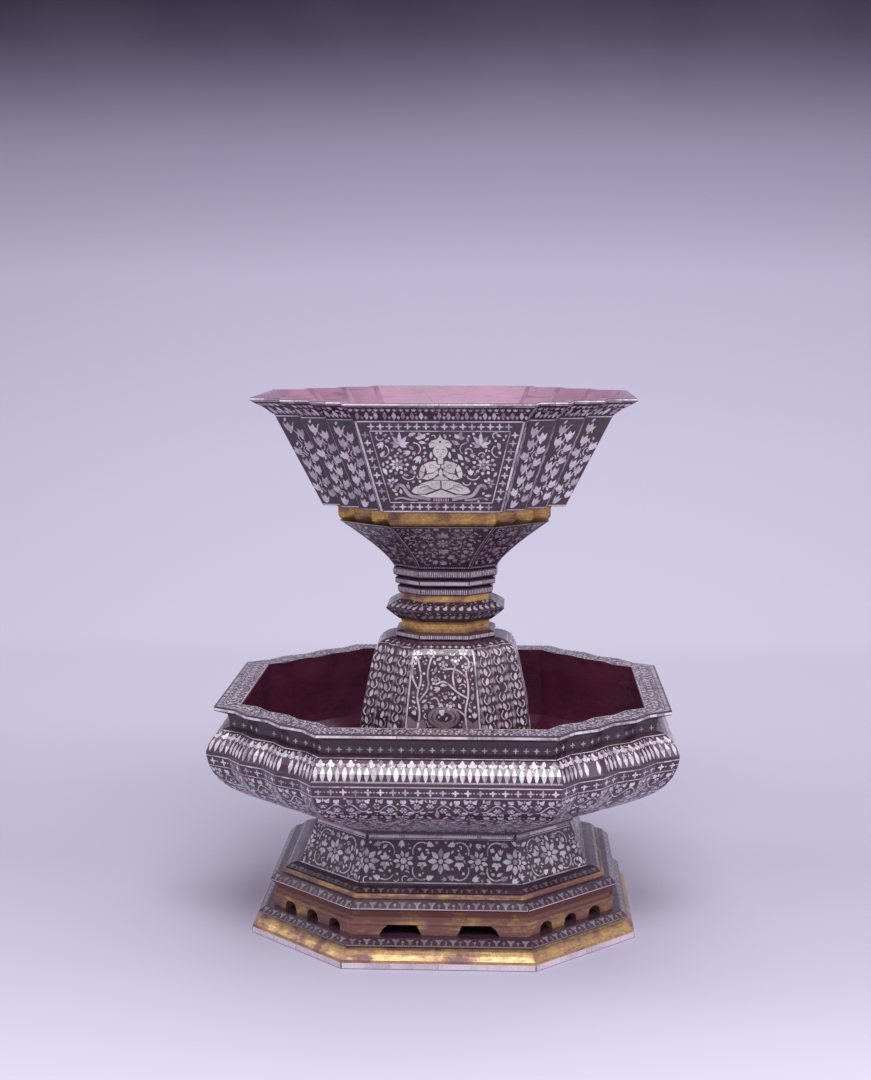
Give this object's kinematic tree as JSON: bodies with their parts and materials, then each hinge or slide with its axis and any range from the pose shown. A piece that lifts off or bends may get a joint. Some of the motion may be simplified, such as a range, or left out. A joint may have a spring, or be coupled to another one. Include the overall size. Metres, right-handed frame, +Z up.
{
  "type": "offering tray",
  "caption": "Two-tier lacquered offering tray: a faceted footed bowl stands loose in the basin of a wider eight-sided footed tray, with gilt mouldings and shell inlay.",
  "frame": {"origin": "on the ground at the middle of the lower tray's foot", "axes": "+Z up along the four-fold axis of both trays, -Y out of the front panel with the seated figure, +X to the viewer's right"},
  "size_m": [0.3108, 0.3108, 0.36],
  "materials": {
    "gilt": "gold leaf over red bole on carved wood",
    "worn_gilt": "gold leaf worn through to the red-brown bole",
    "foot_lacquer": "dark gloss lacquer with rows of shell teeth",
    "waist_lacquer": "dark gloss lacquer with shell rosettes",
    "basin_lacquer": "dark gloss lacquer with shell leaves",
    "rim_lacquer": "dark gloss lacquer with shell border",
    "bell_lacquer": "dark gloss lacquer with shell scene",
    "stem_lacquer": "dark gloss lacquer with shell ticks",
    "bowl_lacquer": "dark gloss lacquer with shell figure and leaves",
    "red_lacquer": "dark red gloss lacquer",
    "bare_wood": "plain turned wood, out of sight"
  },
  "bodies": {
    "lower_tray": {"foot_base_moulding": "gilt", "foot_lower_ledge": "foot_lacquer", "foot_pierced_band": "gilt", "foot_cove": "worn_gilt", "foot_middle_band": "foot_lacquer", "foot_gilt_fillet": "gilt", "foot_top_step": "foot_lacquer", "waist_panel_right_front": "waist_lacquer", "waist_panel_right": "waist_lacquer", "waist_panel_right_back": "waist_lacquer", "waist_panel_back": "waist_lacquer", "waist_panel_left_back": "waist_lacquer", "waist_panel_left": "waist_lacquer", "waist_panel_left_front": "waist_lacquer", "waist_panel_front": "waist_lacquer", "basin_collar": "basin_lacquer", "basin_floor": "red_lacquer", "basin_body": "basin_lacquer", "basin_rim": "rim_lacquer"},
    "upper_tray": {"pedestal_foot_ring": "gilt", "pedestal_bell": "bell_lacquer", "bell_collar": "stem_lacquer", "lower_gilt_collar": "gilt", "lotus_ring": "stem_lacquer", "upper_gilt_collar": "gilt", "lower_neck_ring": "stem_lacquer", "middle_neck_ring": "stem_lacquer", "upper_neck_ring": "stem_lacquer", "bowl_flare": "stem_lacquer", "bowl_gilt_moulding": "gilt", "stem_post": "bare_wood", "bowl_floor": "red_lacquer", "bowl_panel_front": "bowl_lacquer", "bowl_panel_right": "bowl_lacquer", "bowl_panel_back": "bowl_lacquer", "bowl_panel_left": "bowl_lacquer", "bowl_corner_right_front": "bowl_lacquer", "bowl_corner_right_back": "bowl_lacquer", "bowl_corner_left_back": "bowl_lacquer", "bowl_corner_left_front": "bowl_lacquer", "bowl_lip": "rim_lacquer"}
  },
  "joints": [
    {"name": "upper_tray_lift", "type": "slide", "parent": "lower_tray", "child": "upper_tray", "axis": [0, 0, 1], "range_m": [0, 0.09]}
  ]
}
